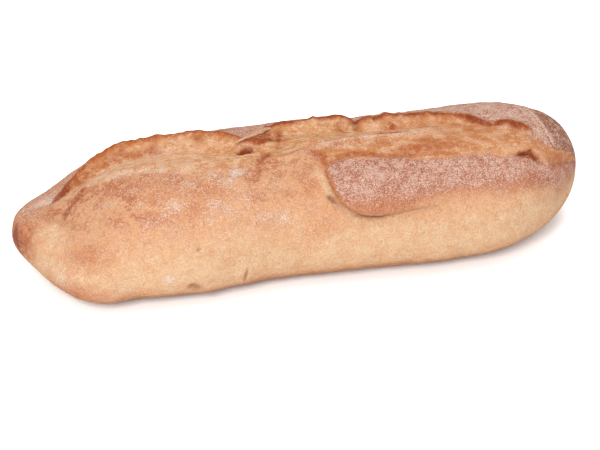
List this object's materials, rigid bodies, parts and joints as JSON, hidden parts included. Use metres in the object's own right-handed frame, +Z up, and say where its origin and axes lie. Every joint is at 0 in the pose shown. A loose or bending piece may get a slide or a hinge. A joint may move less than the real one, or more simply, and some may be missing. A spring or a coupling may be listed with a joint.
{
  "type": "farmhouse loaf",
  "caption": "Long baked loaf with a pointed end, two torn slashes along its crown and a floured crust.",
  "frame": {"origin": "centre of the box's underside, on the surface that the loaf rests on", "axes": "+X along the loaf towards its blunt end, +Z up, -Y towards the front where the flap of crust lies"},
  "size_m": [0.35, 0.1316, 0.0743],
  "materials": {
    "crust": "matte"
  },
  "bodies": {
    "root": {"loaf": "crust"}
  },
  "joints": []
}
